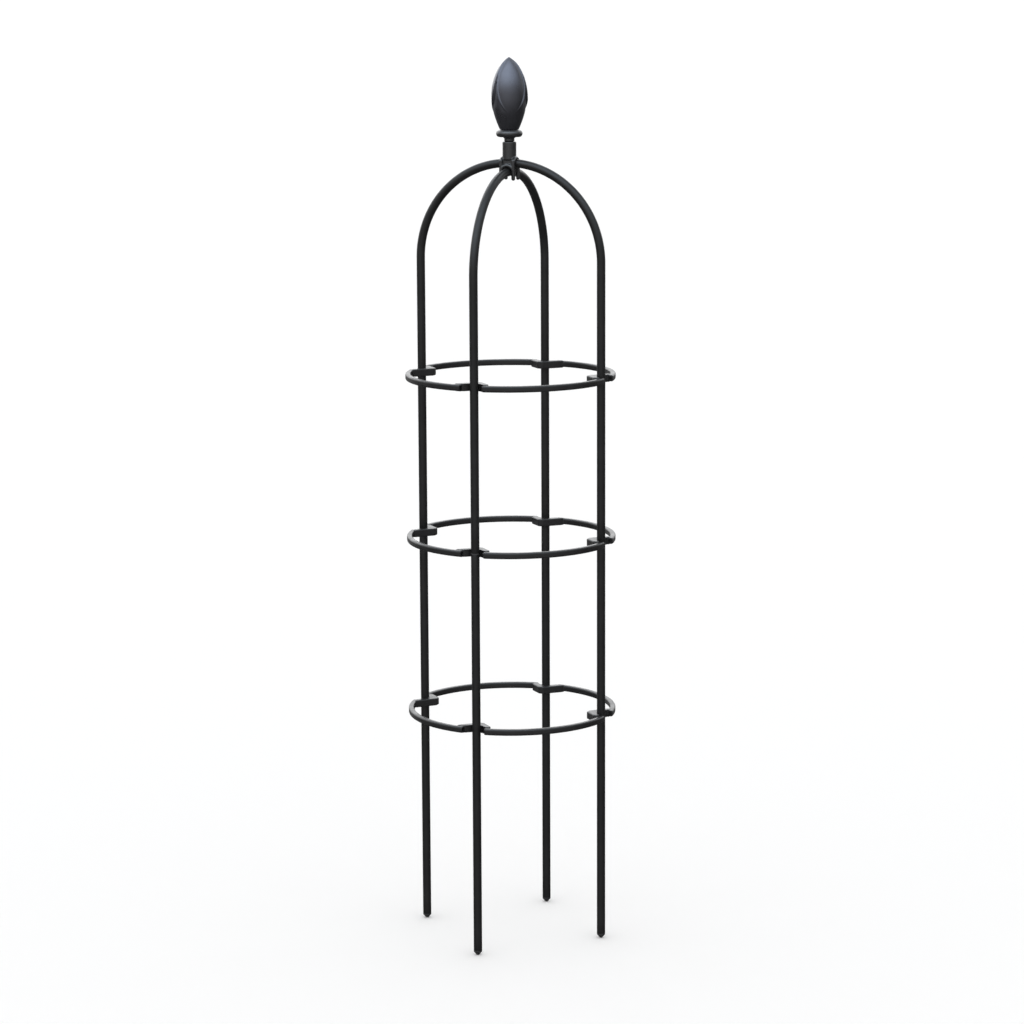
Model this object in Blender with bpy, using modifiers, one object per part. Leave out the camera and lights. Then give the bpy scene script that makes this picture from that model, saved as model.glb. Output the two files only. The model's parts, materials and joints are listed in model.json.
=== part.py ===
"""Garden obelisk: four tube legs, two crossing arches, three clip-on hoops and a bud finial.

Metres, +Z up. The origin is on the ground at the centre of the object. The legs stand on the X and
Y axes: the front leg is at -Y and the right leg at +X.
"""
import math

import bmesh
import bpy
from mathutils import Matrix, Vector

# ---- Driving dimensions -------------------------------------------------------------------------
TOTAL_HEIGHT = 1.200
GAP = 0.0003                     # between faces that touch on the real object

TUBE_RADIUS = 0.0057
TUBE_WALL = 0.0010
TUBE_BORE = TUBE_RADIUS - TUBE_WALL
LEG_CIRCLE = 0.130               # the legs' centres lie on this radius
LEG_JOINT_Z = 0.553              # where the legs meet the arches, behind the middle hoop
ARCH_CROSSING_Z = 1.060          # top of the upper arch's centre line

POINT_HEIGHT = 0.0063
POINT_FLAT_RADIUS = 0.0018
PLUG_RADIUS = TUBE_BORE - GAP
POINT_PLUG_LENGTH = 0.022
POINT_SHOULDER_Z = 0.0047
PLUG_LEAD = 0.0015
COUPLING_PLUG_LENGTH = 0.030
COUPLING_RING_HEIGHT = 0.0012

HOOP_HEIGHTS = {"top": 0.7745, "middle": 0.553, "bottom": 0.3135}
HOOP_OUTER_RADIUS = 0.1419
HOOP_BAR_WIDTH = 0.0075          # radially
HOOP_BAR_HEIGHT = 0.0084
HOOP_BAR_ROUNDING = 0.0020
CLIP_BAR_STOP = 0.0165           # a clip arc's bar stops this far short of the leg's centre
CLIP_BAR_RECESS_RADIUS = 0.0022  # a blind hole in the end of a clip arc's bar
CLIP_BAR_RECESS_DEPTH = 0.0030
PLAIN_BAR_STOP = 0.0140          # a plain arc's bar stops this far short of the leg's centre
NOSE_LENGTH = 0.0030             # over which a plain arc's bar tapers to its rounded end
NOSE_TIP_SHARE = 0.65            # of the full section, at the very end
CLIP_HEIGHT = 0.0102
CLIP_ROUNDING = 0.0007
CLIP_TIP_RADIUS = 0.1105         # how near the axis the clip reaches
CLIP_TIP_HALF_WIDTH = 0.0035
CLIP_ROOT = 0.026                # along the hoop, from the leg's centre
CLIP_FREE_END = 0.0190
CLIP_FREE_DEPTH = 0.0155         # how far the free end stands out from the clip's tip
CLIP_JAW_RADIUS = 0.1265         # how far out the clip's two jaws reach, beside the leg
CLIP_JAW_HALF_WIDTH = 0.0070
CLIP_SHOULDER = 0.0150           # where the V of the clip's back meets the line of the hoop
CLIP_BORE = TUBE_RADIUS + GAP
CLIP_SINK = 0.0025               # how far the clip's root goes into the bar
CLIP_CLEARANCE = 0.0005          # between the clip's free end and the plain arc's bar
CLIP_STEP = 0.0012               # of the root, behind the end of its bar
PEG_PLACE = 0.0170               # along the hoop, from the leg's centre
PEG_RADIUS = 0.0012
PEG_REACH = 0.0024               # how far it goes into the plain arc
PEG_BURIED = 0.003               # the peg's root, inside the clip's free end
PEG_PLAY = 0.0005                # around the peg in its hole

STEM_RADIUS = 0.0092
STEM_TOP_Z = 1.0885
STEM_BORE = 0.0055
STEM_BORE_BOTTOM_Z = 1.0715
SADDLE_TOP_Z = 1.0700
SADDLE_RADIUS = 0.0105           # of the shoulder under the stem
SADDLE_WIDTH = 0.0226            # of the square block that grips the arches
SADDLE_BLOCK_TOP_Z = 1.0652
SADDLE_BLOCK_BOTTOM_Z = 1.0470
SADDLE_BOTTOM_Z = 1.0370
FINGER_PLACE = 0.0087            # finger centres, along X and along Y
FINGER_RADIUS = 0.0026
NECK_RADIUS = 0.0068
COLLAR_RADIUS = 0.0176
COLLAR_BOTTOM_Z = 1.0940
COLLAR_TOP_Z = 1.1040
BUD_BASE_Z = COLLAR_TOP_Z + GAP
BUD_BASE_RADIUS = 0.0125
BUD_RADIUS = 0.0236
BUD_WALL = 0.0028
BUD_HOLE_RADIUS = 0.0062
BUD_PETALS = 6
PETAL_RELIEF = 0.0007

TUBE_SIDES = 16                  # an even number, so that the two halves match
ARCH_STEPS = 26
ARC_STEPS = 15
NOSE_STEPS = 3
TURN_STEPS = 24
BUD_RINGS = 16
BUD_SIDES = 30

LEG_ANGLES = {"right": 0.0, "rear": 90.0, "left": 180.0, "front": 270.0}
CLIP_ARCS = {"rear_right": 0.0, "front_left": 180.0}        # angle of the leg where each starts
PLAIN_ARCS = {"rear_left": 90.0, "front_right": 270.0}

COATED_TUBE = ((0.020, 0.021, 0.023), 0.42, 0.0)
MOULDED = ((0.024, 0.025, 0.027), 0.46, 0.0)
HIDDEN_PLUG = ((0.045, 0.045, 0.048), 0.60, 0.0)

for thing in list(bpy.data.objects):
    bpy.data.objects.remove(thing, do_unlink=True)

obelisk = bpy.data.collections.new("garden_obelisk")
cutter_store = bpy.data.collections.new("cutters")
bpy.context.scene.collection.children.link(obelisk)
bpy.context.scene.collection.children.link(cutter_store)


# ---- Helpers ------------------------------------------------------------------------------------
def finish_material(name, look):
    """One Principled material, in the colour, roughness and metallic value given."""
    colour, roughness, metallic = look
    material = bpy.data.materials.new(name)
    material.use_nodes = True
    shader = material.node_tree.nodes["Principled BSDF"]
    shader.inputs["Base Color"].default_value = (*colour, 1.0)
    shader.inputs["Roughness"].default_value = roughness
    shader.inputs["Metallic"].default_value = metallic
    return material


def add_object(name, data, look, store=obelisk):
    """A new object holding the given mesh or curve, with its own material."""
    thing = bpy.data.objects.new(name, data)
    store.objects.link(thing)
    data.materials.append(finish_material(name, look))
    return thing


def mesh_from(name, bm):
    """A mesh made of the given geometry, which is used up."""
    bmesh.ops.recalc_face_normals(bm, faces=bm.faces)
    mesh = bpy.data.meshes.new(name)
    bm.to_mesh(mesh)
    bm.free()
    return mesh


def smooth(thing, degrees=35.0):
    """Smooth shading, with edges sharper than the given angle kept sharp."""
    thing.data.shade_smooth()
    thing.data.set_sharp_from_angle(angle=math.radians(degrees))


def turned(name, profile, look, steps=TURN_STEPS, centre=(0.0, 0.0)):
    """A solid turned about a vertical axis, from (radius, height) points that run top to bottom."""
    bm = bmesh.new()
    points = [bm.verts.new((radius, 0.0, height)) for radius, height in profile]
    for upper, lower in zip(points, points[1:]):
        bm.edges.new((upper, lower))
    mesh = bpy.data.meshes.new(name)
    bm.to_mesh(mesh)
    bm.free()
    thing = add_object(name, mesh, look)
    thing.location = (centre[0], centre[1], 0.0)
    screw = thing.modifiers.new("turn", "SCREW")
    screw.steps = steps
    screw.render_steps = steps
    screw.use_merge_vertices = True
    screw.merge_threshold = 0.00001
    screw.use_smooth_shade = True
    return thing


def hollow_tube(name, path, look):
    """A round tube with open ends along a path of points."""
    curve = bpy.data.curves.new(name, "CURVE")
    curve.dimensions = "3D"
    spline = curve.splines.new("POLY")
    spline.points.add(len(path) - 1)
    for point, place in zip(spline.points, path):
        point.co = (*place, 1.0)
    curve.bevel_depth = TUBE_RADIUS
    curve.bevel_resolution = (TUBE_SIDES - 4) // 2
    curve.use_fill_caps = False
    thing = add_object(name, curve, look)
    wall = thing.modifiers.new("wall", "SOLIDIFY")
    wall.thickness = TUBE_WALL
    wall.offset = -1.0
    return thing


def cutter(name, bm):
    """A hidden object that other pieces are cut with."""
    thing = bpy.data.objects.new(name, mesh_from(name, bm))
    cutter_store.objects.link(thing)
    thing.hide_render = True
    thing.display_type = "WIRE"
    return thing


def boolean(thing, tool, operation):
    """Join a solid to the thing, or cut one from it."""
    step = thing.modifiers.new(tool.name, "BOOLEAN")
    step.operation = operation
    step.object = tool
    step.solver = "EXACT"


def around(angle, along, radial, height=0.0):
    """A point near a leg: along the hoop, out from the axis, and up."""
    turn = Matrix.Rotation(math.radians(angle), 4, "Z")
    return turn @ Vector((radial, along, height))


def rod(bm, start, end, radius, sides=16):
    """A closed cylinder between two points."""
    line = Vector(end) - Vector(start)
    turn = line.to_track_quat("Z", "Y").to_matrix().to_4x4()
    place = Matrix.Translation((Vector(start) + Vector(end)) / 2) @ turn
    bmesh.ops.create_cone(bm, cap_ends=True, segments=sides, radius1=radius, radius2=radius,
                          depth=line.length, matrix=place)


# ---- Frame: arches, legs, couplings and ground points ---------------------------------------------
def arch(name, crossing_z, angle):
    """A tube that rises from the leg joint, bends over in a half circle and comes down again."""
    spring_z = crossing_z - LEG_CIRCLE
    foot_z = LEG_JOINT_Z + COUPLING_RING_HEIGHT / 2 + GAP
    path = [around(angle, 0.0, LEG_CIRCLE, foot_z)]
    for step in range(ARCH_STEPS + 1):
        turn = math.pi * step / ARCH_STEPS
        path.append(around(angle, 0.0, LEG_CIRCLE * math.cos(turn),
                           spring_z + LEG_CIRCLE * math.sin(turn)))
    path.append(around(angle, 0.0, -LEG_CIRCLE, foot_z))
    return hollow_tube(name, path, COATED_TUBE)


def leg(side, angle):
    """One straight tube, with its ground point and the coupling that joins it to the arch."""
    x, y, _ = around(angle, 0.0, LEG_CIRCLE)
    top_z = LEG_JOINT_Z - COUPLING_RING_HEIGHT / 2 - GAP
    bottom_z = POINT_HEIGHT + GAP
    hollow_tube("leg_" + side, [(x, y, bottom_z), (x, y, top_z)], COATED_TUBE)

    plug_top = POINT_HEIGHT + POINT_PLUG_LENGTH
    turned("ground_point_" + side,
           [(0.0, plug_top), (PLUG_RADIUS - PLUG_LEAD, plug_top), (PLUG_RADIUS, plug_top - PLUG_LEAD),
            (PLUG_RADIUS, POINT_HEIGHT), (TUBE_RADIUS, POINT_HEIGHT), (TUBE_RADIUS, POINT_SHOULDER_Z),
            (POINT_FLAT_RADIUS, 0.0), (0.0, 0.0)],
           MOULDED, steps=16, centre=(x, y))

    ring = COUPLING_RING_HEIGHT / 2
    end = COUPLING_PLUG_LENGTH
    turned("coupling_" + side,
           [(0.0, LEG_JOINT_Z + end), (PLUG_RADIUS - PLUG_LEAD, LEG_JOINT_Z + end),
            (PLUG_RADIUS, LEG_JOINT_Z + end - PLUG_LEAD), (PLUG_RADIUS, LEG_JOINT_Z + ring),
            (TUBE_RADIUS, LEG_JOINT_Z + ring), (TUBE_RADIUS, LEG_JOINT_Z - ring),
            (PLUG_RADIUS, LEG_JOINT_Z - ring), (PLUG_RADIUS, LEG_JOINT_Z - end + PLUG_LEAD),
            (PLUG_RADIUS - PLUG_LEAD, LEG_JOINT_Z - end), (0.0, LEG_JOINT_Z - end)],
           HIDDEN_PLUG, steps=16, centre=(x, y))


# ---- Hoops ----------------------------------------------------------------------------------------
def degrees_along(distance):
    """The angle about the axis that a distance along the hoop bar takes."""
    return math.degrees(distance / (HOOP_OUTER_RADIUS - HOOP_BAR_WIDTH / 2))


def bar_section(height, share):
    """The hoop bar's section at +X, or a share of it on the same inner face, as (radius, z) points."""
    inner = HOOP_OUTER_RADIUS - HOOP_BAR_WIDTH
    half = HOOP_BAR_HEIGHT / 2
    corners = [(HOOP_OUTER_RADIUS, half, 0), (inner, half, 90), (inner, -half, 180),
               (HOOP_OUTER_RADIUS, -half, 270)]
    points = []
    for radius, z, start in corners:
        inward = math.radians(start + 45)
        centre_r = radius - math.copysign(HOOP_BAR_ROUNDING, math.cos(inward))
        centre_z = z - math.copysign(HOOP_BAR_ROUNDING, math.sin(inward))
        for turn in (0, 45, 90):
            angle = math.radians(start + turn)
            outward = centre_r + HOOP_BAR_ROUNDING * math.cos(angle) - inner
            upward = centre_z + HOOP_BAR_ROUNDING * math.sin(angle)
            points.append((inner + share * outward, height + share * upward))
    return points


def nose(angle, direction):
    """Places from the tip of a bar's nose to its full section, as (angle, share of the section)."""
    places = []
    for step in range(NOSE_STEPS):
        way = step / NOSE_STEPS
        share = NOSE_TIP_SHARE + (1.0 - NOSE_TIP_SHARE) * math.sqrt(1.0 - (1.0 - way) ** 2)
        places.append((angle + direction * degrees_along(NOSE_LENGTH * way), share))
    return places


def bar(name, height, places):
    """The bar of a quarter arc, lofted through its section at each (angle, share) place."""
    bm = bmesh.new()
    rings = []
    for angle, share in places:
        turn = Matrix.Rotation(math.radians(angle), 3, "Z")
        section = bar_section(height, share)
        rings.append([bm.verts.new(turn @ Vector((radius, 0.0, z))) for radius, z in section])
    for ring, after in zip(rings, rings[1:]):
        for corner in range(len(ring)):
            bm.faces.new((ring[corner - 1], ring[corner], after[corner], after[corner - 1]))
    bm.faces.new(rings[0])
    bm.faces.new(rings[-1])
    return add_object(name, mesh_from(name, bm), MOULDED)


def even_places(first, last):
    """Places with the full section, spread evenly between two angles."""
    return [(first + (last - first) * step / ARC_STEPS, 1.0) for step in range(ARC_STEPS + 1)]


def on_circle(radius, along):
    """Distance out from the axis, at a place along the hoop, of a circle about the axis."""
    return math.sqrt(radius ** 2 - along ** 2)


def clip_outline(direction):
    """The V-shaped clip seen from above, as (along, radial) points, its root on the -direction side."""
    inner_bar = HOOP_OUTER_RADIUS - HOOP_BAR_WIDTH
    in_bar = inner_bar + CLIP_SINK
    clear = inner_bar - CLIP_CLEARANCE
    step_place = -(CLIP_BAR_STOP + CLIP_STEP)
    points = [(-CLIP_ROOT, on_circle(in_bar, CLIP_ROOT)),
              (-CLIP_ROOT, on_circle(inner_bar - CLIP_STEP, CLIP_ROOT)),
              (-CLIP_TIP_HALF_WIDTH, CLIP_TIP_RADIUS), (CLIP_TIP_HALF_WIDTH, CLIP_TIP_RADIUS),
              (CLIP_FREE_END, CLIP_TIP_RADIUS + CLIP_FREE_DEPTH),
              (CLIP_FREE_END, on_circle(clear, CLIP_FREE_END)),
              (CLIP_SHOULDER, on_circle(clear, CLIP_SHOULDER)),
              (CLIP_JAW_HALF_WIDTH, CLIP_JAW_RADIUS), (-CLIP_JAW_HALF_WIDTH, CLIP_JAW_RADIUS),
              (-CLIP_SHOULDER, on_circle(clear, CLIP_SHOULDER)),
              (step_place, on_circle(clear, step_place)),
              (step_place, on_circle(in_bar, step_place))]
    return [(along * direction, radial) for along, radial in points]


def clip_block(name, height, angle, direction):
    """The moulded clip that lies round the inside of one leg."""
    bm = bmesh.new()
    low = height - CLIP_HEIGHT / 2
    base = [bm.verts.new(around(angle, along, radial, low)) for along, radial in clip_outline(direction)]
    face = bm.faces.new(base)
    grown = bmesh.ops.extrude_face_region(bm, geom=[face])
    top = [part for part in grown["geom"] if isinstance(part, bmesh.types.BMVert)]
    bmesh.ops.translate(bm, verts=top, vec=(0.0, 0.0, CLIP_HEIGHT))
    bmesh.ops.recalc_face_normals(bm, faces=bm.faces)
    flat_edges = [edge for edge in bm.edges
                  if abs(edge.verts[0].co.z - edge.verts[1].co.z) < CLIP_HEIGHT / 2]
    bmesh.ops.bevel(bm, geom=flat_edges, offset=CLIP_ROUNDING, segments=1, affect="EDGES",
                    clamp_overlap=True)
    return cutter(name, bm)


def peg_rod(name, height, angle, direction, play=0.0):
    """The peg on a clip's free end, or with play round it the blind hole that takes it."""
    inner_bar = HOOP_OUTER_RADIUS - HOOP_BAR_WIDTH
    place = PEG_PLACE * direction
    bm = bmesh.new()
    rod(bm, around(angle, place, inner_bar - PEG_BURIED, height),
        around(angle, place, inner_bar + PEG_REACH + play, height), PEG_RADIUS + play, sides=10)
    return cutter(name, bm)


def leg_bore(name, height, angle):
    """The round cut that seats each leg between a clip's jaws."""
    bm = bmesh.new()
    reach = CLIP_HEIGHT
    rod(bm, around(angle, 0.0, LEG_CIRCLE, height - reach),
        around(angle, 0.0, LEG_CIRCLE, height + reach), CLIP_BORE, sides=20)
    return cutter(name, bm)


def end_recess(name, height, angle, direction):
    """The blind round hole in the blunt end of a clip arc's bar."""
    middle = HOOP_OUTER_RADIUS - HOOP_BAR_WIDTH / 2
    mouth = (CLIP_BAR_STOP - CLIP_BAR_RECESS_DEPTH) * -direction
    depth = (CLIP_BAR_STOP + CLIP_BAR_RECESS_DEPTH) * -direction
    bm = bmesh.new()
    rod(bm, around(angle, mouth, on_circle(middle, mouth), height),
        around(angle, depth, on_circle(middle, depth), height), CLIP_BAR_RECESS_RADIUS, sides=12)
    return cutter(name, bm)


def clip_arc(hoop, height, side, start):
    """A quarter arc with a clip at each end."""
    name = f"hoop_{hoop}_arc_{side}"
    end = start + 90.0
    short = degrees_along(CLIP_BAR_STOP)
    arc = bar(name, height, even_places(start + short, end - short))
    for label, angle, direction in (("start", start, -1), ("end", end, 1)):
        boolean(arc, clip_block(f"{name}_clip_{label}", height, angle, direction), "UNION")
        boolean(arc, peg_rod(f"{name}_peg_{label}", height, angle, direction), "UNION")
        boolean(arc, end_recess(f"{name}_recess_{label}", height, angle, direction), "DIFFERENCE")
        boolean(arc, leg_bore(f"{name}_bore_{label}", height, angle), "DIFFERENCE")
    smooth(arc)


def plain_arc(hoop, height, side, start):
    """A quarter arc with a rounded nose at each end, held by the clips' free ends."""
    name = f"hoop_{hoop}_arc_{side}"
    end = start + 90.0
    short = degrees_along(PLAIN_BAR_STOP)
    full = short + degrees_along(NOSE_LENGTH)
    arc = bar(name, height, nose(start + short, 1) + even_places(start + full, end - full)
              + nose(end - short, -1)[::-1])
    for label, angle, direction in (("start", start, 1), ("end", end, -1)):
        boolean(arc, peg_rod(f"{name}_hole_{label}", height, angle, direction, PEG_PLAY), "DIFFERENCE")
    smooth(arc)


# ---- Finial -----------------------------------------------------------------------------------------
def finial_stem():
    """A short tube on a saddle, cut from below for the two crossing arches."""
    stem = turned("finial_stem",
                  [(STEM_BORE, STEM_TOP_Z), (STEM_RADIUS - 0.0012, STEM_TOP_Z),
                   (STEM_RADIUS, STEM_TOP_Z - 0.0012), (STEM_RADIUS, SADDLE_TOP_Z + 0.001),
                   (SADDLE_RADIUS, SADDLE_TOP_Z - 0.002), (SADDLE_RADIUS, SADDLE_TOP_Z - 0.006),
                   (0.0, SADDLE_TOP_Z - 0.006), (0.0, STEM_BORE_BOTTOM_Z),
                   (STEM_BORE, STEM_BORE_BOTTOM_Z),
                   (STEM_BORE, STEM_TOP_Z)], MOULDED)
    bm = bmesh.new()
    place = Matrix.Translation((0.0, 0.0, (SADDLE_BLOCK_TOP_Z + SADDLE_BLOCK_BOTTOM_Z) / 2))
    size = Matrix.Diagonal((SADDLE_WIDTH, SADDLE_WIDTH, SADDLE_BLOCK_TOP_Z - SADDLE_BLOCK_BOTTOM_Z, 1.0))
    bmesh.ops.create_cube(bm, size=1.0, matrix=place @ size)
    upright = [edge for edge in bm.edges if abs(edge.verts[0].co.z - edge.verts[1].co.z) > 0.001]
    bmesh.ops.bevel(bm, geom=upright, offset=FINGER_RADIUS, segments=3, affect="EDGES")
    boolean(stem, cutter("saddle_block", bm), "UNION")
    return stem


def add_fingers(stem):
    """Four round-ended fingers, one in each corner between the arches."""
    for index in range(4):
        angle = math.radians(45 + 90 * index)
        x = math.copysign(FINGER_PLACE, math.cos(angle))
        y = math.copysign(FINGER_PLACE, math.sin(angle))
        bm = bmesh.new()
        rod(bm, (x, y, SADDLE_BOTTOM_Z + FINGER_RADIUS), (x, y, SADDLE_TOP_Z - 0.010), FINGER_RADIUS, 12)
        tip = Matrix.Translation((x, y, SADDLE_BOTTOM_Z + FINGER_RADIUS))
        boolean(stem, cutter(f"finger_{index}", bm), "UNION")
        bm = bmesh.new()
        bmesh.ops.create_uvsphere(bm, u_segments=12, v_segments=8, radius=FINGER_RADIUS * 0.999, matrix=tip)
        boolean(stem, cutter(f"fingertip_{index}", bm), "UNION")


def tube_channel(name, crossing_z, angle):
    """A slot with a round top that lets the saddle down over one arch."""
    bm = bmesh.new()
    reach = 0.03
    radius = TUBE_RADIUS + GAP
    rod(bm, around(angle, 0.0, -reach, crossing_z), around(angle, 0.0, reach, crossing_z), radius, 24)
    round_top = cutter(name + "_round", bm)
    bm = bmesh.new()
    low = SADDLE_BOTTOM_Z - 0.01
    size = Matrix.Diagonal((2 * reach, 2 * radius, crossing_z - low, 1.0))
    place = Matrix.Translation((0.0, 0.0, (crossing_z + low) / 2))
    bmesh.ops.create_cube(bm, size=1.0, matrix=place @ Matrix.Rotation(math.radians(angle), 4, "Z") @ size)
    return round_top, cutter(name + "_slot", bm)


def collar_profile():
    """The collar from top to bottom: spigot, disc with a round edge, neck and lower spigot."""
    edge = (COLLAR_TOP_Z - COLLAR_BOTTOM_Z) / 2
    middle = (COLLAR_TOP_Z + COLLAR_BOTTOM_Z) / 2
    spigot = BUD_HOLE_RADIUS - GAP
    points = [(0.0, COLLAR_TOP_Z + 0.009), (spigot - 0.001, COLLAR_TOP_Z + 0.009),
              (spigot, COLLAR_TOP_Z + 0.008), (spigot, COLLAR_TOP_Z)]
    for step in range(7):
        turn = math.pi / 2 - math.pi * step / 6
        points.append((COLLAR_RADIUS - edge * 0.6 + edge * 0.6 * math.cos(turn),
                       middle + edge * math.sin(turn)))
    points += [(NECK_RADIUS + 0.0015, COLLAR_BOTTOM_Z), (NECK_RADIUS, COLLAR_BOTTOM_Z - 0.0015),
               (NECK_RADIUS, STEM_TOP_Z + GAP), (STEM_BORE - GAP, STEM_TOP_Z + GAP),
               (STEM_BORE - GAP, STEM_BORE_BOTTOM_Z + 0.003),
               (STEM_BORE - 0.0013, STEM_BORE_BOTTOM_Z + 0.002), (0.0, STEM_BORE_BOTTOM_Z + 0.002)]
    return points


def bud_radius(share):
    """The bud's radius at a share of its height: a bulging oval, widest below the middle."""
    base = BUD_BASE_RADIUS / BUD_RADIUS
    widest = 0.43
    if share < widest:
        rise = math.sin(math.pi / 2 * share / widest)
        return BUD_RADIUS * (base + (1.0 - base) * rise ** 0.85)
    fall = (share - widest) / (1.0 - widest)
    return BUD_RADIUS * max(0.0, 1.0 - fall ** 2.25) ** 0.80


def finial_bud():
    """A hollow bud with shallow upright petals, open at its base for the collar's spigot."""
    height = TOTAL_HEIGHT - BUD_BASE_Z
    bm = bmesh.new()
    hole = [bm.verts.new((BUD_HOLE_RADIUS * math.cos(2 * math.pi * side / BUD_SIDES),
                          BUD_HOLE_RADIUS * math.sin(2 * math.pi * side / BUD_SIDES), BUD_BASE_Z))
            for side in range(BUD_SIDES)]
    last = hole
    for ring in range(BUD_RINGS):
        share = ring / BUD_RINGS
        radius = bud_radius(share)
        relief = PETAL_RELIEF * math.sin(math.pi * share)
        row = []
        for side in range(BUD_SIDES):
            angle = 2 * math.pi * side / BUD_SIDES
            lobe = abs(math.cos(BUD_PETALS / 2 * angle)) - 1.0
            out = radius + relief * lobe
            row.append(bm.verts.new((out * math.cos(angle), out * math.sin(angle),
                                     BUD_BASE_Z + height * share)))
        for side in range(BUD_SIDES):
            after = (side + 1) % BUD_SIDES
            bm.faces.new((last[side], last[after], row[after], row[side]))
        last = row
    tip = bm.verts.new((0.0, 0.0, TOTAL_HEIGHT))
    for side in range(BUD_SIDES):
        bm.faces.new((last[side], last[(side + 1) % BUD_SIDES], tip))
    bud = add_object("finial_bud", mesh_from("finial_bud", bm), MOULDED)
    wall = bud.modifiers.new("wall", "SOLIDIFY")
    wall.thickness = BUD_WALL
    wall.offset = -1.0
    smooth(bud)


# ---- Build ------------------------------------------------------------------------------------------
LOWER_CROSSING_Z = ARCH_CROSSING_Z - 2 * TUBE_RADIUS - GAP

arch("arch_upper", ARCH_CROSSING_Z, LEG_ANGLES["right"])
arch("arch_lower", LOWER_CROSSING_Z, LEG_ANGLES["rear"])
for side, angle in LEG_ANGLES.items():
    leg(side, angle)

for hoop, height in HOOP_HEIGHTS.items():
    for side, start in CLIP_ARCS.items():
        clip_arc(hoop, height, side, start)
    for side, start in PLAIN_ARCS.items():
        plain_arc(hoop, height, side, start)

stem = finial_stem()
add_fingers(stem)
for tool in (*tube_channel("upper_channel", ARCH_CROSSING_Z, LEG_ANGLES["right"]),
             *tube_channel("lower_channel", LOWER_CROSSING_Z, LEG_ANGLES["rear"])):
    boolean(stem, tool, "DIFFERENCE")
turned("finial_collar", collar_profile(), MOULDED)
finial_bud()
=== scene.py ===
"""The looks of the garden obelisk: fine meshes and coated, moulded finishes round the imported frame.

Metres, +Z up, in the frame's own coordinates. Each CAD node is replaced by a finer piece of the same
place and size, except the four couplings, which keep their shape and get a finish. Places come from
the frame's nodes; the constants below are the fine details that the nodes are too coarse to give.
"""
import json
import math

import bmesh
import bpy
from mathutils import Matrix, Vector

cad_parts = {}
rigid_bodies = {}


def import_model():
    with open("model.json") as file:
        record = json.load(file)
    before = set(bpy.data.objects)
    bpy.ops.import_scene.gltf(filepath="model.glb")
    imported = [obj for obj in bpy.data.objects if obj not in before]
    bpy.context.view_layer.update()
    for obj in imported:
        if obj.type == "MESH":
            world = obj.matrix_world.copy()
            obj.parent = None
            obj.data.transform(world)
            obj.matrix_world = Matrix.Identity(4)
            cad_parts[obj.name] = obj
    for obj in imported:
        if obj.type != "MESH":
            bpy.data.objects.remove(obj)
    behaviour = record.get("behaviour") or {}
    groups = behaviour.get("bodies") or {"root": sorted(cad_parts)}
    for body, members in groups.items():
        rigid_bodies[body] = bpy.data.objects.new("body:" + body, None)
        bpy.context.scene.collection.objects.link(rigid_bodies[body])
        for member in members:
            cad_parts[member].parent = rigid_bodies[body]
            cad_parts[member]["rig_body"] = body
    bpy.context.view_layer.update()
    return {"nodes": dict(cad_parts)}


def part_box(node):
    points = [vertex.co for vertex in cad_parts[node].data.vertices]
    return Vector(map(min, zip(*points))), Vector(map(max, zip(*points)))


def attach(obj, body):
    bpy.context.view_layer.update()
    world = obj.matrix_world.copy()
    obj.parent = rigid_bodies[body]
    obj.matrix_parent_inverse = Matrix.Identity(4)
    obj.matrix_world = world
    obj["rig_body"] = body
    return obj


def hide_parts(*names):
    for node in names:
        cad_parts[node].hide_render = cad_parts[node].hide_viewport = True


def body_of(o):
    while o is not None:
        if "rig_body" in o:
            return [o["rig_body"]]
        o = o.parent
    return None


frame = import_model()

# ---- Details -------------------------------------------------------------------------------------
GAP = 0.0003                     # between pieces that touch on the real object
TUBE_WALL = 0.0010
TUBE_LIP = 0.0003                # rounding at a tube's ends
TUBE_LIP_STEPS = 3
TUBE_SIDES = 56
ARCH_STEPS = 120                 # round the half circle
ARCH_SHANK_STEPS = 12            # up each straight end of an arch
LEG_STEPS = 24

POINT_BAND = 0.0016              # height of the straight band at a ground point's rim
POINT_TIP_RADIUS = 0.0018
POINT_ROUNDING = 0.0005
POINT_SIDES = 48

BAR_WIDTH = 0.0075               # of a hoop, radially
BAR_HEIGHT = 0.0084
BAR_ROUNDING = 0.0021
BAR_CORNER_STEPS = 7
BAR_STEPS = 110
BAR_STOP = 0.0165                # a clip arc's bar ends this far short of the leg's centre
RECESS_RADIUS = 0.0022
RECESS_DEPTH = 0.0030
RECESS_OVERRUN = 0.003           # how far outside the bar's end the cut for the recess starts
NOSE_STOP = 0.0140               # a plain arc's bar ends this far short of the leg's centre
NOSE_LENGTH = 0.0030
NOSE_TIP_SHARE = 0.60
NOSE_STEPS = 12
NOSE_SPACING = 1.7               # over 1: the steps are closer together at the tip

CLIP_HEIGHT = 0.0102
CLIP_EDGE = 0.0011               # rounding along the clip's top and bottom edges
CLIP_EDGE_STEPS = 3
CLIP_HALF_SIZE = 0.012           # the edges' rounding is drawn in as a share of this
CLIP_CORNER = 0.0024             # rounding of the clip's corners, seen from above
CLIP_TIP_RADIUS = 0.1105         # the tip and the jaw: how far they are from the object's axis
CLIP_JAW_RADIUS = 0.1265
CLIP_TIP_HALF = 0.0035           # these five are distances along the hoop, from the leg's centre
CLIP_JAW_HALF = 0.0070
CLIP_SHOULDER = 0.0150
CLIP_ARM_END = 0.0190
CLIP_ROOT = 0.0260
CLIP_ARM_RISE = 0.0155           # from the tip out to the end of the free arm
CLIP_SETBACK = 0.0012            # how far short of its own bar's end the sunk part of the clip stops
CLIP_SINK = 0.0025               # how deep the clip is sunk into its own bar
CLIP_CLEARANCE = 0.0005          # between the clip and the circle of the bars' inner faces
LEG_SEAT_HALF = 0.012            # half the height of the cut that makes room for the leg
LEG_SEAT_SIDES = 72
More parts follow.
